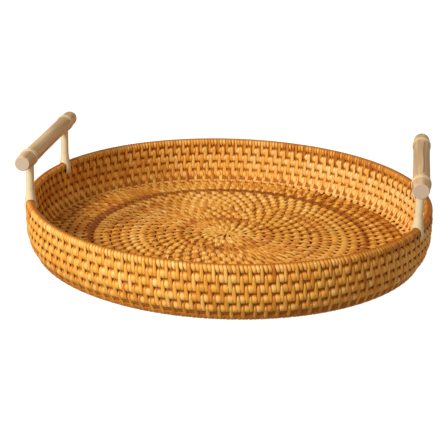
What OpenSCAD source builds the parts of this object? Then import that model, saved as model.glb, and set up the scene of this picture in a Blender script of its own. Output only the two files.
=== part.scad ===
// Round serving tray: one rattan cane coiled flat for the base and stacked for the wall, each
// turn bound with split peel, a bound rim, and two straight cane bars on forked posts.
// Millimetres. +Z is up, the origin is on the floor under the middle, and the bars run along Y.

/* [Tray] */
// Diameter over the wall
tray_d = 300; // [280:1:330]
// Spacing of the bound coils, across the base and up the wall
coil_pitch = 6.9; // [6.5:0.1:7.3]
// Diameter of the bare cane that is coiled
core_d = 5.5; // [5.2:0.1:5.7]
// Thickness of the split peel bound round the coil
peel_t = 0.65; // [0.4:0.05:0.65]
// Diameter of the rim coil over its binding
rim_d = 6.2; // [5.8:0.1:6.6]
// Radius of the bend where the wall tucks in under itself
bend_r = 28; // [26:1:40]

/* [Handles] */
// Diameter of a bar
bar_d = 11; // [10:0.5:13]
// Length of a bar
bar_len = 130; // [120:1:150]
// Height of a bar's axis above the floor
bar_z = 71.6; // [68:0.2:80]
// Diameter over the raised growth rings near a bar's ends
node_ring_d = 12.4; // [12:0.1:13.5]
// Distance between a bar's two posts
post_spread = 94; // [84:1:104]
// Diameter of a post
post_d = 6; // [5:0.2:7]
// Diameter of a post's splayed foot
foot_d = 10.4; // [9.8:0.1:11]
// Depth of the blind hole that a post's top is glued into
socket_depth = 6; // [4:0.5:7]

/* [Hidden] */

$fn = 96;
slack = 0.05;                       // glued or pressed-in pieces clear each other by this
WALL_COURSES = 5;                   // course 1 is the lowest, course 5 carries the rim
bound_r = core_d / 2 + peel_t;      // a bound coil, just under half the pitch
foot_flat = 0.1;                    // how far the weight has pressed the underside flat
floor_z = bound_r - foot_flat;      // axis height of every coil that lies on the floor
wall_r = tray_d / 2 - coil_pitch / 2;
bend_z = floor_z + 2.5 * coil_pitch;  // the wall is upright above this height

// Base spiral, drawn as half circles whose centres step from side to side
knot_r = coil_pitch / 2 - slack;
first_turn_r = coil_pitch;
half_turns = floor((course_r(1) - coil_pitch * 1.25 - first_turn_r) / (coil_pitch / 2)) + 1;
centre_step = coil_pitch / 4;
tail_h = 6;                         // the shaved last turn stands a little under the others

// Rim
rim_r = wall_r - 0.15;
rim_z = course_z(WALL_COURSES) + coil_pitch / 2 + rim_d / 2 + slack;
rim_core_r = rim_d / 2 - peel_t;

// Posts stand on the rim's centre circle
post_y = post_spread / 2;
post_x = sqrt(rim_r * rim_r - post_y * post_y);
post_turn = asin(post_y / rim_r);
fork_gap = 0.15;                    // between the fork and the rim's binding
prong_drop = 6;                     // how far the prongs reach below the rim's axis
flare_h = 16;                       // length over which the foot widens
prong_tip_t = 0.5;                  // thickness left at the bevelled tip of a prong
bevel_h = 5.5;                      // height of the bevelled cut
pin_d = 2;
pin_low_z = rim_z - rim_d / 2 + 0.3;  // a pin's lower end, just inside the rim's binding
pin_len = 13;

bar_chamfer = 0.7;
node_ring_w = 1.6;                  // width of one growth ring
node_ring_gap = 2.6;                // centre to centre of the pair at each post

STRAW = "#d9a45c";
CORE = "#a9662c";
CREAM = "#ecd9ae";
TAN = "#c2a272";

function course_z(n) = floor_z + (n - 1) * coil_pitch;
function course_drop(n) = max(0, bend_z - course_z(n));
function course_r(n) = wall_r - (bend_r - sqrt(bend_r * bend_r - pow(course_drop(n), 2)));

// ---- coils ----

module coil_section(inner, outer) {
    difference() {
        circle(r = outer);
        if (inner > 0) circle(r = inner);
    }
}

// A section trimmed where it lies on the floor
module floor_section(inner, outer) {
    difference() {
        coil_section(inner, outer);
        translate([-outer, -outer - floor_z]) square([2 * outer, outer]);
    }
}

module course_ring(n, inner, outer) {
    rotate_extrude()
        translate([course_r(n), course_z(n)])
            if (n == 1) floor_section(inner, outer);
            else coil_section(inner, outer);
}

module base_spiral(inner, outer) {
    for (k = [0 : half_turns - 1]) {
        side = k % 2;
        translate([(side == 0 ? -1 : 1) * centre_step, 0, floor_z])
            rotate([0, 0, side * 180])
                rotate_extrude(angle = 180)
                    translate([first_turn_r + k * coil_pitch / 2, 0])
                        floor_section(inner, outer);
    }
}

module base_coil_core() color(CORE) base_spiral(0, core_d / 2 - slack);
module base_binding() color(STRAW) base_spiral(core_d / 2, bound_r);

// The turned-in start of the cane, wound tight with peel
module centre_knot()
    color(STRAW)
        difference() {
            translate([-centre_step, 0, floor_z]) sphere(r = knot_r);
            translate([0, 0, -2 * knot_r]) cube(4 * knot_r, center = true);
        }

// The last turn of the base is shaved along its outer side to fill the crescent that is left
// between a spiral and the round wall
module base_coil_tail() {
    function edge_r(k) = first_turn_r + k * coil_pitch / 2 + bound_r + slack;
    last = half_turns - 1;
    color(STRAW)
        linear_extrude(tail_h)
            difference() {
                circle(r = course_r(1) - bound_r - 2 * slack, $fn = 4 * $fn);
                for (k = [last - 1, last]) {
                    side = k % 2;
                    rotate([0, 0, side * 180])
                        intersection() {
                            translate([-centre_step, 0]) circle(r = edge_r(k), $fn = 4 * $fn);
                            translate([-tray_d, -slack]) square([2 * tray_d, tray_d]);
                        }
                }
                // A slit at the end of the full coil
                translate([-tray_d, 0]) square([tray_d, 4 * slack]);
            }
}

module wall_core(n) color(CORE) course_ring(n, 0, core_d / 2 - slack);
module wall_binding(n) color(STRAW) course_ring(n, core_d / 2, bound_r);

// ---- rim ----

module at_each_post() {
    for (side = [-1, 1], end = [-1, 1]) at_post(side, end) children();
}

// Local X points outwards over the rim, local Y along it
module at_post(side, end) {
    translate([side * post_x, end * post_y, 0])
        rotate([0, 0, (side > 0 ? 0 : 180) + side * end * post_turn])
            children();
}

module pin_hole() {
    translate([0, 0, pin_low_z - rim_d]) cylinder(d = pin_d + 2 * slack, h = pin_len + rim_d + slack);
}

module rim_ring(inner, outer) {
    difference() {
        rotate_extrude() translate([rim_r, rim_z]) coil_section(inner, outer);
        at_each_post() pin_hole();
    }
}

module rim_core() color(CORE) rim_ring(0, rim_core_r - slack);
module rim_binding() color(STRAW) rim_ring(rim_core_r, rim_d / 2);

// ---- handles ----

module bar_body() {
    half = bar_len / 2;
    rotate([90, 0, 0])
        rotate_extrude()
            polygon([
                [0, -half], [bar_d / 2 - bar_chamfer, -half], [bar_d / 2, -half + bar_chamfer],
                [bar_d / 2, half - bar_chamfer], [bar_d / 2 - bar_chamfer, half], [0, half]
            ]);
}

// A raised ring with sloping shoulders, round the bar at height y along it
module growth_ring(y) {
    low = bar_d / 2 - 1;
    top = node_ring_d / 2;
    translate([0, y, 0])
        rotate([90, 0, 0])
            rotate_extrude()
                polygon([
                    [low, -node_ring_w / 2], [top, -node_ring_w / 4],
                    [top, node_ring_w / 4], [low, node_ring_w / 2]
                ]);
}

module handle_bar(side) {
    color(TAN)
        translate([side * post_x, 0, bar_z])
            difference() {
                union() {
                    bar_body();
                    for (end = [-1, 1], step = [-1, 1])
                        growth_ring(end * post_y + step * node_ring_gap / 2);
                }
                for (end = [-1, 1])
                    translate([0, end * post_y, -bar_d])
                        cylinder(r = post_d / 2 + slack, h = bar_d / 2 + socket_depth);
            }
}

module post(side, end) {
    foot_z = rim_z - prong_drop;
    top_z = bar_z - bar_d / 2 + socket_depth - slack;
    fork_r = rim_d / 2 + fork_gap;
    color(CREAM)
        at_post(side, end)
            difference() {
                union() {
                    translate([0, 0, foot_z]) cylinder(d = post_d, h = top_z - foot_z);
                    translate([0, 0, foot_z]) cylinder(d1 = foot_d, d2 = post_d, h = flare_h);
                }
                // The fork: a round seat over the rim, open downwards
                translate([0, 0, rim_z])
                    rotate([90, 0, 0]) cylinder(r = fork_r, h = 2 * foot_d, center = true);
                translate([-fork_r, -foot_d, foot_z - 1])
                    cube([2 * fork_r, 2 * foot_d, rim_z - foot_z + 1]);
                // Bevelled cuts that thin each prong towards its tip
                for (out = [0, 180])
                    rotate([0, 0, out])
                        translate([fork_r + prong_tip_t, 0, foot_z])
                            rotate([0, atan((foot_d / 2 - fork_r - prong_tip_t) / bevel_h), 0])
                                translate([0, -foot_d, -foot_d])
                                    cube([foot_d, 2 * foot_d, foot_d + bevel_h]);
                pin_hole();
            }
}

// Thin pins that stand in the posts' feet and pass down through the rim's coil
module foot_pins() {
    color(CREAM)
        at_each_post()
            translate([0, 0, pin_low_z]) cylinder(d = pin_d, h = pin_len);
}

base_coil_core();
base_binding();
centre_knot();
base_coil_tail();
wall_core(1);  // wall_core_1
wall_core(2);  // wall_core_2
wall_core(3);  // wall_core_3
wall_core(4);  // wall_core_4
wall_core(5);  // wall_core_5
wall_binding(1);  // wall_binding_1
wall_binding(2);  // wall_binding_2
wall_binding(3);  // wall_binding_3
wall_binding(4);  // wall_binding_4
wall_binding(5);  // wall_binding_5
rim_core();
rim_binding();
handle_bar(-1);  // handle_bar_left
handle_bar(1);  // handle_bar_right
post(-1, -1);  // post_left_front
post(-1, 1);  // post_left_rear
post(1, -1);  // post_right_front
post(1, 1);  // post_right_rear
foot_pins();
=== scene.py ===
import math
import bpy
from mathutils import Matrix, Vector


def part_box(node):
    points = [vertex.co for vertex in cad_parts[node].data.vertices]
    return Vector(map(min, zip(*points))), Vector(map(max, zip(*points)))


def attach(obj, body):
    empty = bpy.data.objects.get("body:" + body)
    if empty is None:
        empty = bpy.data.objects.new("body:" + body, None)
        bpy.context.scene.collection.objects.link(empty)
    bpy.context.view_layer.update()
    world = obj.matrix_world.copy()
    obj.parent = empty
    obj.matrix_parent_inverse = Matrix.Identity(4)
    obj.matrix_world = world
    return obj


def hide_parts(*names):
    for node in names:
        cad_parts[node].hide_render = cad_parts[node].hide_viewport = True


bl_info = {
    "name": "Coiled cane tray",
    "version": (1, 0, 0),
    "blender": (4, 5, 0),
    "location": "3D View > Sidebar > Tray",
    "description": "Weaves a round coiled cane tray with two cane bar handles round its CAD frame",
    "category": "Object",
}

import bmesh
import bpy
import numpy as np
from bpy.props import FloatProperty, FloatVectorProperty, IntProperty, PointerProperty
from mathutils import Matrix, Vector

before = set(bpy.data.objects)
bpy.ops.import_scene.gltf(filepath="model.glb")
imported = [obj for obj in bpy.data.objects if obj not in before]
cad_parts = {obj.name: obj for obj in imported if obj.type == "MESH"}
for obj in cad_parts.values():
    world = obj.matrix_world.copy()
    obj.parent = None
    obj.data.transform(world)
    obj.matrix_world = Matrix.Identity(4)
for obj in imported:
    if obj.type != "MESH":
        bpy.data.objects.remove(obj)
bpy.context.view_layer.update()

MM = 0.001
TURN = 2 * math.pi
COURSES = 5
HALF_TURNS = 37  # half circles in the floor's coil
TAIL = 1.75  # half circles more in its thinning tail
CORE_TAIL = 1.7  # and in the core of the tail
HEART = (-3.4 * MM, 5.6 * MM, 0.0)  # where the floor's coil starts, from the tray's axis
FLOOR_EDGE = 133 * MM  # where the floor stops giving way to it
INNER_RING = 33 * MM  # distances of the floor's darker rings from the axis
OUTER_RING = 103 * MM
OUTER_RING_DRIFT = 6 * MM  # how much further out the outer one runs at the rear
FLOOR_BANDS = 10  # pieces that the floor's strand is made in


# ---------------------------------------------------------------- settings


class TrayWeaveSettings(bpy.types.PropertyGroup):
    """Sizes of the coils and of the peel that is wound round them."""

    pitch: FloatProperty(
        name="Coil pitch", description="Distance between neighbouring coils",
        default=6.9 * MM, unit="LENGTH",
    )
    coil_radius: FloatProperty(
        name="Coil radius", description="Radius of a coil with its peel on",
        default=3.4 * MM, unit="LENGTH",
    )
    rim_radius: FloatProperty(
        name="Rim radius", description="Radius of the rim coil with its peel on",
        default=3.1 * MM, unit="LENGTH",
    )
    peel_width: FloatProperty(
        name="Peel width", description="Width of a strand of peel",
        default=2.7 * MM, unit="LENGTH",
    )
    peel_thickness: FloatProperty(
        name="Peel thickness", description="Thickness of a strand of peel at its crown",
        default=0.85 * MM, unit="LENGTH",
    )
    wall_stitches: IntProperty(
        name="Stitches round the wall",
        description="Pairs of a long and a short stitch in one course of the wall",
        default=121,
        min=40,
    )
    floor_stitch: FloatProperty(
        name="Floor stitch", description="Usual distance between pairs of stitches on the floor",
        default=7.3 * MM, unit="LENGTH",
    )
    floor_swirl: FloatProperty(
        name="Floor swirl",
        description="How far a stitch stands on from the one it is split into, a turn further in",
        default=4.4 * MM, unit="LENGTH",
    )
    wall_shift: FloatProperty(
        name="Wall shift",
        description="How far a course's stitches stand on from those below, in stitches",
        default=0.61,
    )
    seed: IntProperty(
        name="Seed", description="Starts the small differences between stitches",
        default=7,
    )


class TrayHandleSettings(bpy.types.PropertyGroup):
    """Sizes of the handle bars."""

    bar_radius: FloatProperty(
        name="Bar radius", description="Radius of the cane bar", default=5.75 * MM, unit="LENGTH"
    )
    right_bar_stouter: FloatProperty(
        name="Right bar stouter",
        description="How much thicker the right bar grew than the left one",
        default=1.065,
    )
    ring_radius: FloatProperty(
        name="Node radius", description="Radius of the bar over its growth rings",
        default=6.5 * MM, unit="LENGTH",
    )
    ring_place: FloatProperty(
        name="Node place", description="Distance of the growth rings from the bar's middle",
        default=48.5 * MM, unit="LENGTH",
    )
    ring_gap: FloatProperty(
        name="Node gap", description="Distance between the two growth rings of a node",
        default=3.0 * MM, unit="LENGTH",
    )


class TrayColourSettings(bpy.types.PropertyGroup):
    """Colours of the cane."""

    peel_stain: FloatVectorProperty(
        name="Stained peel", description="Brown strands of the floor's ring",
        subtype="COLOR",
        default=(0.25, 0.062, 0.004),
    )
    peel_deep: FloatVectorProperty(
        name="Deep peel", description="Darkest strands", subtype="COLOR", default=(0.46, 0.132, 0.006)
    )
    peel_honey: FloatVectorProperty(
        name="Honey peel", description="Usual strands", subtype="COLOR", default=(0.78, 0.375, 0.048)
    )
    peel_straw: FloatVectorProperty(
        name="Straw peel", description="Palest strands", subtype="COLOR", default=(0.91, 0.62, 0.23)
    )
    # Dark as the shade in the gaps where the core shows: painted shade. Also the colour of the peel's
    # flecks.
    core: FloatVectorProperty(
        name="Core", description="Cane inside the coils", subtype="COLOR", default=(0.26, 0.085, 0.007)
    )
    bar: FloatVectorProperty(
        name="Bar", description="Skin of the handle bars", subtype="COLOR", default=(0.50, 0.33, 0.18)
    )
    bar_streak: FloatVectorProperty(
        name="Bar streaks", description="Brown streaks", subtype="COLOR", default=(0.28, 0.115, 0.04)
    )
    node_ring: FloatVectorProperty(
        name="Growth rings", description="Raised rings", subtype="COLOR", default=(0.80, 0.66, 0.38)
    )
    end_grain: FloatVectorProperty(
        name="End grain", description="Sawn ends", subtype="COLOR", default=(0.51, 0.40, 0.30)
    )
    post: FloatVectorProperty(
        name="Posts", description="Pale cane of the posts", subtype="COLOR", default=(0.70, 0.60, 0.40)
    )
    pin: FloatVectorProperty(
        name="Pins", description="Pins in the feet", subtype="COLOR", default=(0.62, 0.42, 0.22)
    )


class TrayStageSettings(bpy.types.PropertyGroup):
    """Camera and lights."""

    azimuth: FloatProperty(
        name="Azimuth", description="Camera's turn", subtype="ANGLE", default=math.radians(7.678)
    )
    elevation: FloatProperty(
        name="Elevation", description="Its height angle", subtype="ANGLE", default=math.radians(19.587)
    )
    roll: FloatProperty(
        name="Roll", description="Camera's tilt", subtype="ANGLE", default=math.radians(1.635)
    )
    distance: FloatProperty(
        name="Distance", description="From the camera to its target", default=0.95034, unit="LENGTH"
    )
    target_height: FloatProperty(
        name="Target height", description="Height of its target", default=15.43 * MM, unit="LENGTH"
    )
    lens: FloatProperty(name="Lens", description="Focal length in mm", default=101.93)
    key: FloatProperty(name="Key light", description="Power of the key light in W", default=30.0)
    fill: FloatProperty(name="Fill light", description="Power of the fill light in W", default=3.0)
    sky: FloatProperty(name="Room light", description="Strength of the even light", default=0.38)


# ---------------------------------------------------------------- shader words


class Wire:
    """A shader socket that can be added, taken away, multiplied and compared in plain sums."""

    def __init__(self, finish, socket):
        self.finish = finish
        self.socket = socket

    def sum(self, operation, first, second):
        return self.finish.add("ShaderNodeMath", {"operation": operation}, {0: first, 1: second})

    def __add__(self, other):
        return self.sum("ADD", self, other)

    __radd__ = __add__

    def __mul__(self, other):
        return self.sum("MULTIPLY", self, other)

    __rmul__ = __mul__

    def __sub__(self, other):
        return self.sum("SUBTRACT", self, other)

    def __rsub__(self, other):
        return self.sum("SUBTRACT", other, self)

    def __abs__(self):
        return self.sum("ABSOLUTE", self, 0.0)


class Finish:
    """A material being made. Every node comes from add()."""

    def __init__(self, name, **constants):
        self.material = bpy.data.materials.new(name)
        self.material.use_nodes = True
        self.tree = self.material.node_tree
        self.shader = self.tree.nodes["Principled BSDF"]
        for socket, value in constants.items():
            self.shader.inputs[socket.replace("_", " ")].default_value = value

    def add(self, kind, settings=None, inputs=None, output=0):
        """One node of this type: its settings first, then the values or links of its sockets."""
        node = self.tree.nodes.new(kind)
        for key, value in (settings or {}).items():
            if key == "stops":
                stops = node.color_ramp.elements
                while len(stops) < len(value):
                    stops.new(1.0)
                for stop, (place, colour) in zip(stops, value):
                    stop.position = place
                    stop.color = tuple(colour) + (1.0,)
            else:
                setattr(node, key, value)
        for key, value in (inputs or {}).items():
            self.join(node.inputs[key], value)
        return Wire(self, node.outputs[output])

    def join(self, socket, value):
        if isinstance(value, Wire):
            self.tree.links.new(value.socket, socket)
        elif hasattr(value, "__len__") and socket.type == "RGBA":
            socket.default_value = tuple(value)[:3] + (1.0,)
        else:
            socket.default_value = value

    def attribute(self, name):
        return self.add("ShaderNodeAttribute", {"attribute_name": name}, output=2)

    def blend(self, amount, first, second):
        """Colours mixed by amount, from first to second."""
        return self.add(
            "ShaderNodeMix",
            {"data_type": "RGBA", "clamp_factor": True},
            {0: amount, 6: first, 7: second},
            output=2,
        )

    def vector(self, x, y, z):
        return self.add("ShaderNodeCombineXYZ", inputs={0: x, 1: y, 2: z})

    def noise(self, place, scale, detail=3.0, roughness=0.5):
        return self.add(
            "ShaderNodeTexNoise",
            inputs={"Vector": place, "Scale": scale, "Detail": detail, "Roughness": roughness},
        )

    def step(self, value, low, high, start=0.0, end=1.0):
        """A smooth change from start to end as value goes from low to high."""
        return self.add(
            "ShaderNodeMapRange",
            {"interpolation_type": "SMOOTHSTEP"},
            {"Value": value, "From Min": low, "From Max": high, "To Min": start, "To Max": end},
        )

    def surface(self, colour, roughness=None, height=None, depth=0.0, strength=1.0):
        """Links what changes over the surface and hands back the material."""
        self.join(self.shader.inputs["Base Color"], colour)
        if roughness is not None:
            self.join(self.shader.inputs["Roughness"], roughness)
        if height is not None:
            sockets = {"Strength": strength, "Distance": depth, "Height": height}
            self.join(self.shader.inputs["Normal"], self.add("ShaderNodeBump", inputs=sockets))
        return self.material


def peel_finish(colours):
    """Varnished rattan peel: silky fibres along the strand, tone that changes from strand to strand,
    and painted shade at its edges and in the valleys between coils.
    """
    finish = Finish("varnished_peel", Coat_Weight=0.08, Coat_Roughness=0.35, Specular_IOR_Level=0.35)
    along, across = finish.attribute("along"), finish.attribute("across")
    tone, strand = finish.attribute("tone"), finish.attribute("strand")
    fibre_place = finish.vector(along * 90.0, across * 3.2, strand)
    fibre = finish.noise(fibre_place, 1.0, 4.0, 0.6)
    cloud = finish.noise(finish.vector(along * 45.0, across * 0.6, strand), 1.0, 2.0)
    level = tone + (fibre - 0.5) * 0.42 + (cloud - 0.5) * 0.55
    honey = finish.add(
        "ShaderNodeValToRGB",
        {
            "stops": [
                (0.0, colours.peel_stain),
                (0.14, colours.peel_deep),
                (0.46, colours.peel_honey),
                (0.92, colours.peel_straw),
            ]
        },
        {0: level},
    )
    olive = finish.noise(finish.vector(along * 12.0, strand, 3.0), 1.0, 2.0)
    tinted = finish.blend(finish.step(olive, 0.52, 0.72) * 0.45, honey, (0.60, 0.40, 0.08))
    # Painted shade: the strand darker towards its edges and where it goes down into the valleys between
    # coils.
    edge_shade = finish.step(abs(across), 0.45, 1.0)
    nook = finish.step(finish.attribute("nook"), 0.30, 1.0)
    edge_and_valley_shaded = finish.blend(1 - (1 - edge_shade * 0.75) * (1 - nook * 0.7), tinted, colours.peel_deep)
    speckle = finish.noise(finish.vector(along * 420.0, across * 1.6, strand), 1.0, 1.0)
    flecked = finish.blend(finish.step(speckle, 0.70, 0.80) * 0.5, edge_and_valley_shaded, colours.core)
    roughness = 0.42 + fibre * 0.16
    return finish.surface(flecked, roughness, fibre, depth=0.14 * MM, strength=0.5)


def core_finish(colours):
    """The round core cane, seen only in the gaps between stitches; its dark colour is painted shade of
    those gaps.
    """
    finish = Finish("gap_shade_core_cane", Specular_IOR_Level=0.15)
    place = finish.add("ShaderNodeTexCoord", output=3)
    grain = finish.noise(place, 900.0, 3.0)
    colour = finish.blend(grain, colours.core, [c * 1.9 for c in colours.core])
    return finish.surface(colour, 0.5 + grain * 0.2, grain, depth=0.1 * MM)


def bar_finish(colours):
    """Unpeeled cane of the bars: long streaks, soft blotches, cream growth rings and pale sawn ends."""
    finish = Finish("cane_bar_skin", Coat_Weight=0.12, Coat_Roughness=0.3)
    place = finish.add("ShaderNodeTexCoord", output=3)
    x, y, z = (finish.add("ShaderNodeSeparateXYZ", inputs={0: place}, output=i) for i in range(3))
    ring, end, scar = (finish.attribute(name) for name in ("ring", "end", "scar"))
    long_grain = finish.noise(finish.vector(x * 900.0, y * 26.0, z * 900.0), 1.0, 4.0, 0.62)
    broad = finish.noise(finish.vector(x * 260.0, y * 14.0, z * 260.0), 1.0, 2.0)
    streaks = finish.noise(finish.vector(x * 420.0, y * 9.0, z * 420.0), 1.0, 1.0)
    skin = finish.blend(finish.step(broad, 0.35, 0.68), colours.bar, (0.74, 0.53, 0.31))
    skin = finish.blend(finish.step(long_grain, 0.40, 0.75) * 0.55, skin, (0.52, 0.31, 0.14))
    skin = finish.blend(finish.step(streaks, 0.66, 0.75) * 0.75, skin, colours.bar_streak)
    dull = finish.step(finish.noise(place, 150.0, 2.0), 0.5, 0.72)
    skin = finish.blend(dull * 0.3, skin, (0.50, 0.42, 0.27))
    skin = finish.blend(scar * (0.6 + finish.step(broad, 0.3, 0.6) * 0.4), skin, colours.bar_streak)
    skin = finish.blend(ring, skin, colours.node_ring)
    pores = finish.noise(finish.vector(x * 1900.0, y * 60.0, z * 1900.0), 1.0, 2.0)
    sawn = finish.blend(finish.step(pores, 0.5, 0.68) * 0.6, colours.end_grain, (0.45, 0.30, 0.21))
    skin = finish.blend(end, skin, sawn)
    roughness = 0.42 + long_grain * 0.2 + end * 0.25
    return finish.surface(skin, roughness, long_grain, depth=0.18 * MM, strength=0.6)


def post_finish(colours):
    """Pale peeled cane of the posts, with fine grain along them."""
    finish = Finish("pale_post_cane", Coat_Weight=0.2, Coat_Roughness=0.25)
    place = finish.add("ShaderNodeTexCoord", output=3)
    x, y, z = (finish.add("ShaderNodeSeparateXYZ", inputs={0: place}, output=i) for i in range(3))
    grain = finish.noise(finish.vector(x * 1400.0, y * 1400.0, z * 55.0), 1.0, 4.0, 0.6)
    blotch = finish.noise(finish.vector(x * 160.0, y * 160.0, z * 60.0), 1.0, 2.0)
    colour = finish.blend(finish.step(grain, 0.42, 0.74) * 0.5, colours.post, (0.70, 0.47, 0.20))
    colour = finish.blend(finish.step(blotch, 0.5, 0.75) * 0.4, colour, (0.76, 0.60, 0.30))
    return finish.surface(colour, 0.34 + grain * 0.18, grain, depth=0.12 * MM, strength=0.5)


def pin_finish(colours):
    """End grain of the small wooden pins."""
    finish = Finish("pin_wood_grain")
    place = finish.add("ShaderNodeTexCoord", output=3)
    grain = finish.noise(place, 1600.0, 3.0)
    colour = finish.blend(grain, colours.pin, [c * 0.55 for c in colours.pin])
    return finish.surface(colour, 0.5 + grain * 0.2, grain, depth=0.1 * MM)


def floor_finish():
    """Even white paper that gives out its own light."""
    white = (1.0, 1.0, 1.0, 1.0)
    finish = Finish("white_paper", Roughness=0.9, Emission_Strength=0.97, Emission_Color=white)
    place = finish.add("ShaderNodeTexCoord", output=3)
    tooth = finish.noise(place, 40.0, 2.0)
    return finish.surface(finish.blend(tooth, (0.20, 0.20, 0.20), (0.24, 0.24, 0.24)))


def shared(make, *arguments):
    """The material that make() gives, made once."""
    known = shared.made.get(make.__name__)
    if known is None:
        known = shared.made[make.__name__] = make(*arguments)
    return known


shared.made = {}


# ---------------------------------------------------------------- mesh words


def piece(name, vertices, faces, material, replaced=(), values=None):
    """A finished mesh on the tray's body, with its per-point values."""
    mesh = bpy.data.meshes.new(name)
    vertices = np.asarray(vertices, dtype=np.float32)
    faces = [tuple(face) for face in faces]
    mesh.from_pydata(vertices, [], faces)
    for key, column in (values or {}).items():
        layer = mesh.attributes.new(key, "FLOAT", "POINT")
        layer.data.foreach_set("value", np.asarray(column, dtype=np.float32).ravel())
    mesh.materials.append(material)
    mesh.shade_smooth()
    mesh.validate()
    thing = bpy.data.objects.new(name, mesh)
    bpy.context.scene.collection.objects.link(thing)
    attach(thing, "root")
    if replaced:
        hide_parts(*replaced)
    return thing


def unit(rows):
    return rows / np.maximum(np.linalg.norm(rows, axis=-1, keepdims=True), 1e-12)


# A stitch goes through these corners: how far over to the neighbouring coil, degrees round the coil,
# place along the coil as a share of the pair, breadth as a share of the peel's, and how far it stands
# up, in mm.
LONG = [
    (0, 0, 0.00, 0.46, 0),
    (0, 90, 0.09, 1.08, 0),
    (1, 90, 0.16, 1.22, 0),
    (1, 270, 0.33, 1.34, 0),
    (0, 270, 0.29, 1.28, 0),
    (0, 360, 0.36, 0.76, 0),
]
SHORT = [
    (0, 0, 0.36, 1.20, 0),
    (0, 45, 0.41, 1.50, 0.10),
    (0, 90, 0.44, 1.52, 0.22),
    (0, 135, 0.47, 1.46, 0.10),
    (0, 180, 0.52, 1.20, 0),
    (0, 225, 0.57, 1.42, 0.08),
    (0, 270, 0.60, 1.50, 0.16),
    (0, 315, 0.66, 1.30, 0),
    (0, 360, 1.00, 0.90, 0),
]
# The second course stands further out, so its short stitches reach down over the wider groove inside.
SECOND_SHORT = [
    *SHORT[:4],
    (0, 180, 0.52, 1.30, 0.40),
    (0, 215, 0.56, 1.60, 1.20),
    (0, 245, 0.58, 1.60, 0.75),
    (0, 270, 0.60, 1.55, 0.20),
    *SHORT[7:],
]
FLOOR_LONG = [
    (0, 0, 0.00, 0.46, 0),
    (0, 90, 0.09, 1.00, 0),
    (1, 90, 0.16, 1.10, 0),
    (1, 270, 0.26, 1.14, -0.15),
    (0, 270, 0.28, 1.08, -0.12),
    (0, 360, 0.36, 0.72, 0),
]
FLOOR_SHORT = [
    (0, 0, 0.36, 1.20, 0),
    (0, 90, 0.44, 1.46, 0.20),
    (0, 180, 0.51, 1.20, 0),
    (0, 225, 0.55, 1.44, 0.20),
    (0, 270, 0.60, 1.58, 0.42),
    (0, 315, 0.66, 1.40, 0.20),
    (0, 360, 1.00, 0.90, 0),
]
CORNER_LONG = [
    (0, -65, 0.00, 0.50, 0),
    (0, 0, 0.07, 0.90, 0),
    (0, 90, 0.13, 1.00, 0),
    (1, 90, 0.16, 1.00, 0),
    (1, 270, 0.22, 1.25, 0),
    (0, 270, 0.30, 1.20, 0),
    (0, 295, 0.36, 0.72, 0),
]
CORNER_SHORT = [
    (0, -65, 0.36, 1.00, 0),
    (0, 0, 0.45, 1.45, 0.15),
    (0, 90, 0.50, 1.30, 0),
    (0, 180, 0.56, 1.00, 0),
    (0, 270, 0.68, 1.40, 0.10),
    (0, 295, 1.00, 0.80, 0),
]
RIM_LONG = [
    (0, 0, 0.00, 0.90, 0),
    (0, 90, 0.10, 0.95, 0),
    (1, 90, 0.17, 1.05, 0),
    (1, 270, 0.21, 1.00, 0),
    (0, 270, 0.25, 0.95, 0),
    (0, 360, 0.30, 0.95, 0),
]
RIM_SHORT = [
    (0, 0, 0.30, 1.05, 0),
    (0, 90, 0.45, 1.12, 0.10),
    (0, 180, 0.56, 0.85, 0),
    (0, 270, 0.60, 1.00, 0),
    (0, 360, 0.65, 1.00, 0),
]
RIM_SECOND = [
    (0, 0, 0.65, 1.00, 0),
    (0, 90, 0.80, 1.08, 0.05),
    (0, 180, 0.91, 0.85, 0),
    (0, 270, 0.95, 1.00, 0),
    (0, 360, 1.00, 0.95, 0),
]
FULLNESS = 0.14  # how much fuller than round a bound coil is at its corners
SAG = 0.30 * MM  # how far a long stitch dips between its two coils
GROUND = 0.03 * MM  # the lowest that a strand reaches
STITCH_STEP = 22.5  # degrees between a stitch's points
STRAND_LENGTHS = (16, 27)  # fewest pairs from one strand, and one more than the most
# The strand's cross-section: places across it, and heights above the coil as a share of its thickness.
SECTION = [
    (-1.0, 0.06),
    (-0.82, 0.62),
    (-0.40, 0.96),
    (0.40, 0.96),
    (0.82, 0.62),
    (1.0, 0.06),
    (0.0, -0.10),
]
# Spreads of the small differences: a pair's width, a stitch's and a strand's tone, and where a pair
# stands on the floor and on the wall, as a share of the pair.
WIDTH_SPREAD = 0.05
STITCH_TONE_SPREAD = 0.085
STRAND_TONE_SPREAD = 0.075
FLOOR_SLACK = 0.018
WALL_SLACK = 0.022
# Tone runs from 0, stained, to 1, straw.
USUAL_TONE = 0.47
# Painted light and shade: the raised short stitches paler than usual, the long stitches darker.
LONG_PAINTED_SHADE = -0.05  # long stitches are darker than usual
SHORT_PAINTED_LIGHT = 0.06
HEART_TONE = 0.16  # how much paler the floor's heart is
FLOOR_STAIN = 0.05  # how much darker the floor is, its inner ring, and its outer ring all round
INNER_STAIN = 0.22
OUTER_STAIN = 0.28
REAR_LEFT_DARKENING = 0.55  # and how much more the outer ring is at the rear left
# Painted light and shade on the wall: its inside paler at the rear right and darker at the left, its
# outside darker at the left.
INNER_PAINTED_LIGHT = 0.16  # how much paler the wall's inside is at the rear right
LEFT_PAINTED_SHADE = 0.10  # how much darker its outside is at the left
# Painted shade on the rim:
RIM_PAINTED_SHADE = 0.06  # how much darker the rim is, and how much more at the right
RIM_RIGHT_PAINTED_SHADE = 0.16


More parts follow.
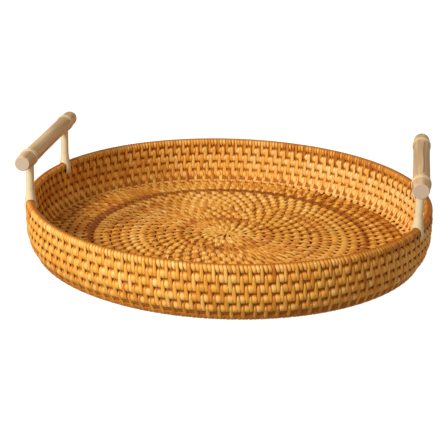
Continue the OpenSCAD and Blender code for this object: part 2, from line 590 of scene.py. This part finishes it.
def stitch_course(corners):
    """The points of one stitch between its corners, without its last point."""
    rows = []
    for here, there in zip(corners, corners[1:]):
        count = max(2, round(abs(there[1] - here[1]) / STITCH_STEP)) if here[0] == there[0] else 4
        for k in range(count):
            t = k / count
            rows.append([a + (b - a) * t for a, b in zip(here, there)])
    return rows


def stitch_pattern(*stitches):
    """The points of the stitches that make one repeat, and which of them each belongs to."""
    rows, which = [], []
    for number, corners in enumerate(stitches):
        part = stitch_course(corners)
        rows += part
        which += [number] * len(part)
    return np.array(rows), np.array(which)


def hill(distance, spread):
    """1 at no distance, falling off smoothly as the distance grows past the spread."""
    return np.exp(-((distance / spread) ** 2))


def smooth_round(values, closed, times=2):
    """Evens out the kinks of a path that was laid out by corners."""
    for _ in range(times):
        if closed:
            values = (np.roll(values, 1, 0) + 2 * values + np.roll(values, -1, 0)) / 4
        else:
            inner = (values[:-2] + 2 * values[1:-1] + values[2:]) / 4
            values = np.concatenate([values[:1], inner, values[-1:]])
    return values


def settle(points):
    """Sets the floor's heart a little off the axis, as hand winding does, and leaves its edge."""
    share = np.clip(np.hypot(points[..., 0], points[..., 1]) / FLOOR_EDGE, 0, 1)
    return points + 0.5 * (1 + np.cos(np.pi * share))[..., None] * np.array(HEART)


def wind_peel(
    name, weave, track, starts, pattern, closed, replaced, random, width_scale=None, shade=None
):
    """A continuous strand of peel wound along a coil: a closed ring, or a stretch of the floor's coil.

    track(angle) gives the coil's centre, the neighbour's centre and their radii under the peel. starts
    are the angles where the pairs of stitches start, with one more for the end of the last.
    width_scale(angle) and shade(path, inside) change the width and the tone from place to place."""
    starts = np.asarray(starts)
    pairs = len(starts) - 1
    corners, which = pattern
    over, degrees, _, breadth, lift = (np.tile(column, pairs) for column in corners.T)
    angle = (starts[:-1, None] + corners[None, :, 2] * np.diff(starts)[:, None]).ravel()
    spin = np.radians(degrees)
    own, partner, own_radius, partner_radius = track(angle)
    g = unit(own - partner)
    tangent = np.stack([-np.sin(angle), np.cos(angle), np.zeros_like(angle)], 1)
    face = unit(np.cross(g, tangent))
    radius = own_radius * (1 - over) + partner_radius * over
    radius = radius * (1 + FULLNESS * np.sin(2 * spin) ** 2)
    sag = SAG * np.sin(np.pi * over)
    centre = own * (1 - over)[:, None] + partner * over[:, None]
    normal = np.cos(spin)[:, None] * g - np.sin(spin)[:, None] * face
    path = centre + normal * (radius - sag + lift * MM)[:, None]
    path = smooth_round(path, closed)
    if closed:
        run = np.roll(path, -1, 0) - np.roll(path, 1, 0)
    else:
        run = np.gradient(path, axis=0)
    run = unit(run)
    normal = unit(normal - (normal * run).sum(1, keepdims=True) * run)
    side = np.cross(run, normal)

    per = len(which)
    kinds = which.max() + 1
    each = np.repeat(np.arange(pairs), per)
    stitch = each * kinds + np.tile(which, pairs)
    pair_width = 1 + random.normal(0, WIDTH_SPREAD, pairs)
    stitch_tone = random.normal(0, STITCH_TONE_SPREAD, pairs * kinds)
    lengths = random.integers(*STRAND_LENGTHS, pairs)
    strand_of_pair = np.searchsorted(np.cumsum(lengths), np.arange(pairs), side="right")
    strand_tone = random.normal(USUAL_TONE, STRAND_TONE_SPREAD, pairs + 1)
    # Painted light and shade: short stitches paler, long ones darker.
    kind_painted_light = np.tile(np.where(which == 0, LONG_PAINTED_SHADE, SHORT_PAINTED_LIGHT), pairs)
    tone = strand_tone[strand_of_pair][each] + stitch_tone[stitch] + kind_painted_light
    if shade is not None:
        tone = tone + shade(path, np.sin(spin) < 0)
    width = weave.peel_width * pair_width[each] * smooth_round(breadth, closed)
    if width_scale is not None:
        width = width * width_scale(angle)
    travelled = np.concatenate([[0], np.cumsum(np.linalg.norm(np.diff(path, axis=0), axis=1))])

    section = np.array(SECTION)
    rows = len(path)
    points = (
        path[:, None, :]
        + side[:, None, :] * (section[None, :, 0:1] * width[:, None, None] / 2)
        + normal[:, None, :] * (section[None, :, 1:2] * weave.peel_thickness)
    )
    points[..., 2] = np.maximum(points[..., 2], GROUND)
    if not closed:
        points = settle(points)
    count = len(section)
    faces = tube_faces(rows, count, closed)
    values = {
        "along": np.repeat(travelled, count),
        "across": np.tile(section[:, 0], rows),
        "tone": np.repeat(tone, count),
        # painted shade where the strand goes down into a valley between coils
        "nook": np.repeat(np.cos(spin) ** 2, count),
        "strand": np.repeat(strand_of_pair[each] * 7.3 + random.uniform(0, 50), count),
    }
    peel = shared(peel_finish, bpy.context.scene.tray_colours)
    return piece(name, points.reshape(-1, 3), faces, peel, replaced, values)


def coil_distance(turned, pitch):
    """Distance of the floor coil's centre line from the axis, after it has wound through this angle."""
    half = np.floor(np.asarray(turned) / math.pi)
    radius = pitch * (1 + half / 2)
    offset = np.where(half % 2 == 0, -pitch / 4, pitch / 4)
    return offset * np.cos(turned) + np.sqrt(radius**2 - (offset * np.sin(turned)) ** 2)


def ring_place(node, radius):
    """(distance from the axis, height) of the centre line of a ring node."""
    low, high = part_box(node)
    return high.x - radius, high.z - radius


def at(distance, height, angle):
    return np.stack(
        [distance * np.cos(angle), distance * np.sin(angle), np.full(np.shape(angle), height)], 1
    )


def floor_height(weave):
    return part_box("base_binding")[1].z - weave.coil_radius


def tail_room(angle, weave):
    """Where the gap from the floor's coil to the first course starts at this angle, and its width."""
    course_edge = ring_place("wall_binding_1", weave.coil_radius)[0] - weave.coil_radius
    inner = coil_distance(angle - TURN, weave.pitch) + weave.pitch / 2
    return inner, course_edge - inner


def floor_track(weave):
    """Track for the floor's coil and its thinning tail."""
    height = floor_height(weave)
    under = weave.coil_radius - weave.peel_thickness
    end = HALF_TURNS * math.pi

    def track(angle):
        distance = coil_distance(angle, weave.pitch)
        own_radius = np.full(angle.shape, under)
        inner, room = tail_room(angle, weave)
        late = angle > end
        half = np.clip(room / 2, 0.9 * MM, weave.coil_radius)
        distance = np.where(late, inner + half, distance)
        own_radius = np.where(late, half - weave.peel_thickness, own_radius)
        own = at(distance, height, angle)
        before = coil_distance(np.maximum(angle - TURN, 0), weave.pitch)
        partner = at(before, height, angle)
        first = np.clip((angle - math.pi) / math.pi, 0, 1)
        knot_x = -weave.pitch / 4 + first * weave.pitch
        knot = np.stack([knot_x, np.zeros_like(angle), np.full(angle.shape, height)], 1)
        partner = np.where((angle < TURN)[:, None], knot, partner)
        return own, partner, own_radius, np.full(angle.shape, under)

    return track


def wall_track(weave, course):
    """Track for a course of the wall. The lowest one is stitched into the floor's outermost turn."""
    under = weave.coil_radius - weave.peel_thickness
    own_place = ring_place(f"wall_binding_{course + 1}", weave.coil_radius)
    below = ring_place(f"wall_binding_{max(course, 1)}", weave.coil_radius)

    def track(angle):
        own = at(np.full(angle.shape, own_place[0]), own_place[1], angle)
        partner = at(np.full(angle.shape, below[0]), below[1], angle)
        if course == 0:
            turned = np.mod(angle, TURN)
            outer = turned + (HALF_TURNS - 1) * math.pi
            front = turned > math.pi
            inner, _ = tail_room(np.where(front, outer, outer + TURN), weave)
            near = inner + weave.coil_radius
            far = inner - weave.pitch / 2
            sweep = np.clip((turned / math.pi - 0.25) / 0.3, 0, 1)
            sweep = np.where(front, 0.0, sweep * sweep * (3 - 2 * sweep))
            partner = at(near * (1 - sweep) + far * sweep, floor_height(weave), angle)
        radius = np.full(angle.shape, under)
        return own, partner, radius, radius

    return track


def rim_track(weave):
    """Track for the rim, which is stitched into the top course."""
    own_place = ring_place("rim_binding", weave.rim_radius)
    below = ring_place(f"wall_binding_{COURSES}", weave.coil_radius)

    def track(angle):
        own = at(np.full(angle.shape, own_place[0]), own_place[1], angle)
        partner = at(np.full(angle.shape, below[0]), below[1], angle)
        own_radius = np.full(angle.shape, weave.rim_radius - weave.peel_thickness)
        below_radius = np.full(angle.shape, weave.coil_radius - weave.peel_thickness)
        return own, partner, own_radius, below_radius

    return track


FIRST_STITCH = 0.25  # winding angle of the floor's first pair
CROWDING = 1.40  # room for one more pair, in usual stitches
HEART_STITCHES = 23 * MM  # closer to the axis than this, the stitches get shorter


def floor_starts(weave):
    """Where the pairs of stitches stand along the floor's coil.

    Each pair is split into the one a turn further in and stands a little on from it, which gives the
    swirl. Where that leaves too much room one more pair is put in, and its neighbours make way."""
    usual, swirl = weave.floor_stitch, weave.floor_swirl

    def stitch(distance):
        return usual * (0.50 + 0.50 * np.minimum(1.0, distance / HEART_STITCHES))

    starts = [FIRST_STITCH]
    while starts[-1] < TURN:
        distance = float(coil_distance(starts[-1], weave.pitch))
        starts.append(starts[-1] + stitch(distance) / distance)
    parents = np.array(starts)
    last = (HALF_TURNS + TAIL) * math.pi
    while starts[-1] < last:
        distance = coil_distance(parents + TURN, weave.pitch)
        turn = parents + TURN + swirl / distance
        turn = turn[turn > starts[-1] + 0.5 * stitch(distance[0]) / distance[0]]
        turn = np.concatenate([starts[-1:], turn])
        room = np.diff(turn) * coil_distance(turn[1:], weave.pitch)
        wide = np.nonzero(room > CROWDING * stitch(coil_distance(turn[1:], weave.pitch)))[0]
        turn = np.insert(turn, wide + 1, (turn[wide] + turn[wide + 1]) / 2)
        for _ in range(6):
            turn[1:-1] += 0.25 * (turn[:-2] - 2 * turn[1:-1] + turn[2:])
        parents = turn[1:]
        starts += parents.tolist()
    starts = np.array(starts)
    return starts[starts < last]


# ---------------------------------------------------------------- operators


class TRAY_OT_weave_floor(bpy.types.Operator):
    """Wind the peel round the floor's coil, in bands, out to its thinning tail"""

    bl_idname = "tray.weave_floor"
    bl_label = "Weave the floor"

    def execute(self, context):
        weave = context.scene.tray_weave
        random = np.random.default_rng(weave.seed)
        starts = floor_starts(weave)
        starts = starts + random.normal(0, FLOOR_SLACK, len(starts)) * np.gradient(starts)
        track = floor_track(weave)
        pattern = stitch_pattern(FLOOR_LONG, FLOOR_SHORT)
        turns = coil_distance(starts, weave.pitch) / weave.pitch
        cuts = np.searchsorted(turns, np.linspace(0, turns[-1], FLOOR_BANDS + 1)[1:-1])
        edges = [0, *cuts.tolist(), len(starts) - 1]
        spacing = np.diff(starts) * coil_distance(starts[:-1], weave.pitch)

        def width_scale(angle):
            here = np.interp(angle, starts[:-1], spacing) / weave.floor_stitch
            return np.clip(here, 0.6, 1.1) ** 0.7

        def shade(path, _):
            distance = np.hypot(path[:, 0], path[:, 1])
            around = np.arctan2(path[:, 1], path[:, 0])
            stained = OUTER_RING + OUTER_RING_DRIFT * np.clip(np.sin(around), 0, 1)
            outer = hill(distance - stained, 3.2 * MM)
            inner = hill(distance - INNER_RING, 4.5 * MM)
            heart = hill(distance, 16 * MM)
            # The outer ring is darker still towards the rear left.
            rear_left = 0.5 - 0.5 * np.cos(around + math.radians(50))
            ring_darkening = OUTER_STAIN + REAR_LEFT_DARKENING * rear_left
            return HEART_TONE * heart - ring_darkening * outer - INNER_STAIN * inner - FLOOR_STAIN

        for band, (a, b) in enumerate(zip(edges, edges[1:])):
            nodes = ["base_binding"]
            if band == 0:
                nodes.append("centre_knot")
            if band == FLOOR_BANDS - 1:
                nodes.append("base_coil_tail")
            name = f"floor_weave_{band + 1:02d}"
            here = starts[a : b + 1]
            wind_peel(name, weave, track, here, pattern, False, nodes, random, width_scale, shade)
        return {"FINISHED"}


class TRAY_OT_weave_wall(bpy.types.Operator):
    """Wind the peel round the five courses of the wall, each split into the one below"""

    bl_idname = "tray.weave_wall"
    bl_label = "Weave the wall"

    def execute(self, context):
        weave = context.scene.tray_weave
        random = np.random.default_rng(weave.seed + 1)
        pitch_angle = TURN / weave.wall_stitches
        patterns = [stitch_pattern(CORNER_LONG, CORNER_SHORT), stitch_pattern(LONG, SECOND_SHORT)]
        patterns += [stitch_pattern(LONG, SHORT)] * (COURSES - 2)

        def shade(path, inside):
            # Painted light on the inside, paler at the rear right and darker at the left; painted shade
            # on the outside at the left.
            sunny = np.clip(0.5 + (path[:, 0] * 0.7 + path[:, 1]) / 0.30, 0, 1)
            left = np.clip(-path[:, 0] / 0.12, 0, 1)
            return np.where(inside, INNER_PAINTED_LIGHT * (2.2 * sunny - 1.2), -LEFT_PAINTED_SHADE * left)

        for course in range(COURSES):
            starts = (np.arange(weave.wall_stitches + 1) + weave.wall_shift * course) * pitch_angle
            starts[:-1] += random.normal(0, WALL_SLACK, weave.wall_stitches) * pitch_angle
            starts[-1] = starts[0] + TURN
            name, nodes = f"wall_weave_{course + 1}", [f"wall_binding_{course + 1}"]
            track, pattern = wall_track(weave, course), patterns[course]
            wind_peel(name, weave, track, starts, pattern, True, nodes, random, shade=shade)
        return {"FINISHED"}


class TRAY_OT_weave_rim(bpy.types.Operator):
    """Wind the rim closely, one long stitch into the course below and two short ones"""

    bl_idname = "tray.weave_rim"
    bl_label = "Weave the rim"

    def execute(self, context):
        weave = context.scene.tray_weave
        random = np.random.default_rng(weave.seed + 2)
        pitch_angle = TURN / weave.wall_stitches
        starts = (np.arange(weave.wall_stitches + 1) + weave.wall_shift * COURSES) * pitch_angle
        starts[:-1] += random.normal(0, WALL_SLACK, weave.wall_stitches) * pitch_angle
        starts[-1] = starts[0] + TURN

        def shade(path, _):
            # Painted shade: the rim darker all round, more at the right.
            return -RIM_PAINTED_SHADE - RIM_RIGHT_PAINTED_SHADE * np.clip(path[:, 0] / 0.14, 0, 1)

        pattern = stitch_pattern(RIM_LONG, RIM_SHORT, RIM_SECOND)
        track, nodes = rim_track(weave), ["rim_binding"]
        wind_peel("rim_weave", weave, track, starts, pattern, True, nodes, random, shade=shade)
        return {"FINISHED"}


# The filler cane is a dark stand-in for the shade in the groove between two coils: painted shade.
FILLER = 1.5 * MM  # radius of the slim cane that lies in the groove between two coils
FILLER_GROWTH = 1.2  # how much its radius grows as the groove widens
WIDE_GROOVE = 1.0 * MM  # a groove that is this much wider has the thickest one
CORE_SIDES = 14
CORE_EASE = 0.06 * MM  # between a core and the peel round it
FLOOR_CORE_STEPS = 3600
RING_CORE_STEPS = 480


def press_core(name, track, angles, closed, nodes, across, along):
    """A cane pressed oval between its neighbours, with along as its half size towards them.

    A closed one has a slim dark filler cane beside it, in the groove to its neighbour, as painted shade
    of that groove."""
    own, partner, _, _ = track(angles)
    g = unit(own - partner)
    tangent = np.stack([-np.sin(angles), np.cos(angles), np.zeros_like(angles)], 1)
    face = unit(np.cross(g, tangent))
    turn = np.arange(CORE_SIDES) / CORE_SIDES * TURN
    points = (
        own[:, None, :]
        + g[:, None, :] * (np.cos(turn)[None, :, None] * np.reshape(along, (-1, 1, 1)))
        + face[:, None, :] * (np.sin(turn)[None, :, None] * np.reshape(across, (-1, 1, 1)))
    )
    faces = tube_faces(len(angles), CORE_SIDES, closed)
    if not closed:
        points = settle(points)
    else:
        middle = (own + partner) / 2
        apart = np.linalg.norm(own - partner, axis=1).reshape(-1, 1, 1)
        pitch = bpy.context.scene.tray_weave.pitch
        slim_radius = FILLER + np.clip(apart - pitch, 0, WIDE_GROOVE) * FILLER_GROWTH
        slim = (
            middle[:, None, :]
            + g[:, None, :] * (np.cos(turn)[None, :, None] * slim_radius)
            + face[:, None, :] * (np.sin(turn)[None, :, None] * slim_radius)
        )
        before = points.shape[0] * CORE_SIDES
        faces = faces + [[corner + before for corner in quad] for quad in faces]
        points = np.concatenate([points, slim])
    stained = shared(core_finish, bpy.context.scene.tray_colours)
    return piece(name, points.reshape(-1, 3), faces, stained, nodes)


def tube_faces(rows, count, closed):
    """Faces of a tube of this many rows of count points, with ends unless it is closed."""
    ring = np.arange(rows if closed else rows - 1)
    following = (ring + 1) % rows
    k = np.arange(count)
    after = (k + 1) % count
    corners = [
        ring[:, None] * count + k,
        following[:, None] * count + k,
        following[:, None] * count + after,
        ring[:, None] * count + after,
    ]
    faces = np.stack(corners, -1).reshape(-1, 4).tolist()
    if not closed:
        faces.append(list(range(count)))
        faces.append(list(range((rows - 1) * count, rows * count))[::-1])
    return faces


class TRAY_OT_press_cores(bpy.types.Operator):
    """Make the core canes that show between the stitches"""

    bl_idname = "tray.press_cores"
    bl_label = "Press the cores"

    def execute(self, context):
        weave = context.scene.tray_weave
        across = weave.coil_radius - weave.peel_thickness - CORE_EASE
        along = weave.pitch / 2 + 0.05 * MM
        angles = np.linspace(0.05, (HALF_TURNS + CORE_TAIL) * math.pi, FLOOR_CORE_STEPS)
        thinned = np.clip(tail_room(angles, weave)[1] / 2, 0.8 * MM, along)
        along_floor = np.where(angles > HALF_TURNS * math.pi, thinned, along)
        across_floor = np.minimum(across, along_floor)
        track = floor_track(weave)
        press_core("floor_core", track, angles, False, ["base_coil_core"], across_floor, along_floor)
        ring = np.arange(RING_CORE_STEPS) / RING_CORE_STEPS * TURN
        for course in range(COURSES):
            name, nodes = f"wall_core_cane_{course + 1}", [f"wall_core_{course + 1}"]
            press_core(name, wall_track(weave, course), ring, True, nodes, across, along)
        across = weave.rim_radius - weave.peel_thickness - CORE_EASE
        along = weave.rim_radius
        press_core("rim_core_cane", rim_track(weave), ring, True, ["rim_core"], across, along)
        return {"FINISHED"}


BAR_SIDES = 72
NODE_REACH = 6 * MM  # how far from a node the bar's circles stay close together
END_CIRCLES = (0.45, 0.80, 0.885)  # circles of a sawn end, as shares of the bar's radius
WORN = 0.55 * MM  # how much of the edge is worn away at a sawn end, and how far along that goes
WORN_REACH = 1.6 * MM
# The long brown scar of each bar: degrees round it, half its length, and its half width in degrees.
SCARS = {"left": (150.0, 24 * MM, 5.0), "right": (76.0, 40 * MM, 5.5)}


def bar_places(half, handles):
    """Places along a bar's skin, from its middle."""
    fine = np.linspace(-NODE_REACH, NODE_REACH, 49)
    coarse = np.linspace(-half + 0.5 * MM, half - 0.5 * MM, 120)
    return np.unique(np.concatenate([coarse, fine + handles.ring_place, fine - handles.ring_place]))


def bar_circles(half, body, handles, random):
    """A bar's circles: place along it, radius, share of growth ring, share of sawn end."""
    y = bar_places(half, handles)
    ring = np.zeros_like(y)
    swell = np.zeros_like(y)
    for place in (-handles.ring_place, handles.ring_place):
        for gap in (-handles.ring_gap / 2, handles.ring_gap / 2):
            ring += hill(y - place - gap, 0.75 * MM)
        swell += hill(y - place, 3.4 * MM)
    rise = handles.ring_radius - handles.bar_radius
    wander = np.interp(y, np.linspace(-half, half, 9), random.normal(0, 0.10 * MM, 9))
    worn = WORN * np.exp(-(half - np.abs(y)) / WORN_REACH)
    radius = body * 0.985 + wander + swell * rise * 0.55 + ring * rise * 0.50 - worn
    near_end = [(-half, share * body, 0.0, 1.0) for share in END_CIRCLES]
    far_end = [(half, *rest) for _, *rest in reversed(near_end)]
    skin = np.stack([y, radius, np.minimum(1.0, ring), np.zeros_like(y)], 1)
    return np.vstack([near_end, skin, far_end])


def bar_faces(count):
    """Faces of a bar of this many circles, whose last two points are the middles of its ends."""
    faces = []
    for row in range(0, (count - 1) * BAR_SIDES, BAR_SIDES):
        for k in range(BAR_SIDES):
            n = (k + 1) % BAR_SIDES
            faces.append((row + k, row + n, row + BAR_SIDES + n, row + BAR_SIDES + k))
    last = (count - 1) * BAR_SIDES
    first_cap, last_cap = count * BAR_SIDES, count * BAR_SIDES + 1
    for k in range(BAR_SIDES):
        n = (k + 1) % BAR_SIDES
        faces.append((n, k, first_cap))
        faces.append((last + k, last + n, last_cap))
    return faces


def dress(name, material):
    """Gives a carried-over CAD node its material."""
    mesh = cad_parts[name].data
    mesh.materials.clear()
    mesh.materials.append(material)


class TRAY_OT_turn_bars(bpy.types.Operator):
    """Make the two cane bars with their growth rings and sawn ends"""

    bl_idname = "tray.turn_bars"
    bl_label = "Turn the bars"

    def execute(self, context):
        handles = context.scene.tray_handles
        random = np.random.default_rng(11)
        turn = np.arange(BAR_SIDES) / BAR_SIDES * TURN
        lumps = 1 + 0.010 * np.sin(2 * turn + 1.3) + 0.006 * np.sin(3 * turn + 0.4)
        for side, stouter in (("left", 1.0), ("right", handles.right_bar_stouter)):
            node = f"handle_bar_{side}"
            low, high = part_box(node)
            centre = (low + high) / 2
            half = (high.y - low.y) / 2
            circles = bar_circles(half, handles.bar_radius * stouter, handles, random)
            along, radius = circles[:, 0:1], circles[:, 1:2]
            points = np.stack(
                [
                    centre.x + radius * lumps * np.cos(turn),
                    np.broadcast_to(centre.y + along, (len(circles), BAR_SIDES)),
                    centre.z + radius * lumps * np.sin(turn),
                ],
                -1,
            )
            caps = [(centre.x, centre.y + end, centre.z) for end in (-half, half)]
            place, reach, aside = SCARS[side]
            from_scar = turn - math.radians(place) - 0.03 * np.sin(along / (9 * MM))
            scar = hill(from_scar, math.radians(aside)) * (np.abs(along) < reach)
            piece(
                f"cane_bar_{side}",
                np.vstack([points.reshape(-1, 3), caps]),
                bar_faces(len(circles)),
                shared(bar_finish, context.scene.tray_colours),
                [node],
                {
                    "ring": np.append(np.repeat(circles[:, 2], BAR_SIDES), [0, 0]),
                    "end": np.append(np.repeat(circles[:, 3], BAR_SIDES), [1, 1]),
                    "scar": np.append(scar.ravel(), [0, 0]),
                },
            )
        return {"FINISHED"}


POST_VOXEL = 0.3 * MM  # cell of the even skin that the posts are softened on


class TRAY_OT_finish_posts(bpy.types.Operator):
    """Soften the forked posts and give them and their pins their finish"""

    bl_idname = "tray.finish_posts"
    bl_label = "Finish the posts"

    def execute(self, context):
        colours = context.scene.tray_colours
        for side in ("left", "right"):
            for end in ("front", "rear"):
                name = f"post_{side}_{end}"
                dress(name, shared(post_finish, colours))
                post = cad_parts[name]
                remesh = post.modifiers.new("even_skin", "REMESH")
                remesh.mode = "VOXEL"
                remesh.voxel_size = POST_VOXEL
                remesh.use_smooth_shade = True
                smooth = post.modifiers.new("soft_edges", "SMOOTH")
                smooth.factor = 0.5
                smooth.iterations = 3
        dress("foot_pins", shared(pin_finish, colours))
        return {"FINISHED"}


# Each lamp's place, the width of its disk and its colour.
KEY_LAMP = ((-0.88, -1.10, 0.88), 0.55, (1.0, 0.97, 0.92))
FILL_LAMP = ((0.9, -1.3, 0.9), 1.2, (1.0, 0.99, 0.98))
LAMP_AIM = (0, 0, 0.02)
ROOM_COLOUR = (1.0, 0.83, 0.64, 1.0)
FLOOR_REACH = 40.0
FLOOR_DROP = 0.0005  # how far the stage floor lies below the tray
LENS_SHIFT = -0.0112


class TRAY_OT_set_stage(bpy.types.Operator):
    """Set the white floor, the soft lights and the camera"""

    bl_idname = "tray.set_stage"
    bl_label = "Set the stage"

    def execute(self, context):
        stage = context.scene.tray_stage
        scene = context.scene
        shape = bmesh.new()
        bmesh.ops.create_grid(shape, x_segments=8, y_segments=8, size=FLOOR_REACH)
        mesh = bpy.data.meshes.new("paper_floor")
        shape.to_mesh(mesh)
        shape.free()
        mesh.materials.append(shared(floor_finish))
        floor = bpy.data.objects.new("paper_floor", mesh)
        floor.location.z = -FLOOR_DROP
        # Hidden from the tray, so that the paper's own light doesn't fall on it.
        floor.visible_diffuse = floor.visible_glossy = False
        scene.collection.objects.link(floor)

        def lamp(name, power, place, size, colour):
            light = bpy.data.lights.new(name, "AREA")
            light.shape = "DISK"
            light.size = size
            light.energy = power
            light.color = colour
            holder = bpy.data.objects.new(name, light)
            holder.location = place
            beam = Vector(LAMP_AIM) - Vector(place)
            holder.rotation_euler = beam.to_track_quat("-Z", "Y").to_euler()
            scene.collection.objects.link(holder)
            return holder

        key = lamp("key_light", stage.key, *KEY_LAMP)
        fill = lamp("fill_light", stage.fill, *FILL_LAMP)

        world = bpy.data.worlds.new("pale_room")
        world.use_nodes = True
        room = world.node_tree.nodes["Background"]
        room.inputs["Color"].default_value = ROOM_COLOUR
        room.inputs["Strength"].default_value = stage.sky
        scene.world = world
        scene.view_settings.view_transform = "Standard"

        turn, tip = -stage.azimuth, stage.elevation
        level = math.cos(tip)
        forward = Vector((math.sin(turn) * level, math.cos(turn) * level, -math.sin(tip)))
        right = Vector((math.cos(turn), -math.sin(turn), 0))
        up = right.cross(forward)
        level_x = right * math.cos(stage.roll) + up * math.sin(stage.roll)
        level_y = up * math.cos(stage.roll) - right * math.sin(stage.roll)
        lens = bpy.data.cameras.new("camera")
        lens.lens = stage.lens
        lens.sensor_width = 36
        lens.shift_x = LENS_SHIFT
        lens.clip_start = 0.01
        camera = bpy.data.objects.new("camera", lens)
        turned = Matrix((level_x, level_y, -forward)).transposed().to_4x4()
        target = Vector((0, 0, stage.target_height))
        camera.matrix_world = Matrix.Translation(target - forward * stage.distance) @ turned
        scene.collection.objects.link(camera)
        scene.camera = camera
        return {"FINISHED"}


class TRAY_PT_tools(bpy.types.Panel):
    """The tray's steps, in order"""

    bl_idname = "TRAY_PT_tools"
    bl_label = "Coiled cane tray"
    bl_space_type = "VIEW_3D"
    bl_region_type = "UI"
    bl_category = "Tray"

    def draw(self, context):
        for step in STEPS:
            self.layout.operator(step.bl_idname)
        for group in GROUPS:
            box = self.layout.box()
            for name in GROUPS[group].__annotations__:
                box.prop(getattr(context.scene, group), name)


STEPS = (
    TRAY_OT_weave_floor,
    TRAY_OT_weave_wall,
    TRAY_OT_weave_rim,
    TRAY_OT_press_cores,
    TRAY_OT_turn_bars,
    TRAY_OT_finish_posts,
    TRAY_OT_set_stage,
)
GROUPS = {
    "tray_weave": TrayWeaveSettings,
    "tray_handles": TrayHandleSettings,
    "tray_colours": TrayColourSettings,
    "tray_stage": TrayStageSettings,
}


def register():
    for kind in (*GROUPS.values(), *STEPS, TRAY_PT_tools):
        bpy.utils.register_class(kind)
    for name, kind in GROUPS.items():
        setattr(bpy.types.Scene, name, PointerProperty(type=kind))


def unregister():
    for name in GROUPS:
        delattr(bpy.types.Scene, name)
    for kind in (TRAY_PT_tools, *reversed(STEPS), *reversed(tuple(GROUPS.values()))):
        bpy.utils.unregister_class(kind)


def main():
    register()
    bpy.ops.tray.weave_floor()
    bpy.ops.tray.weave_wall()
    bpy.ops.tray.weave_rim()
    bpy.ops.tray.press_cores()
    bpy.ops.tray.turn_bars()
    bpy.ops.tray.finish_posts()
    bpy.ops.tray.set_stage()


if __name__ == "__main__":
    main()
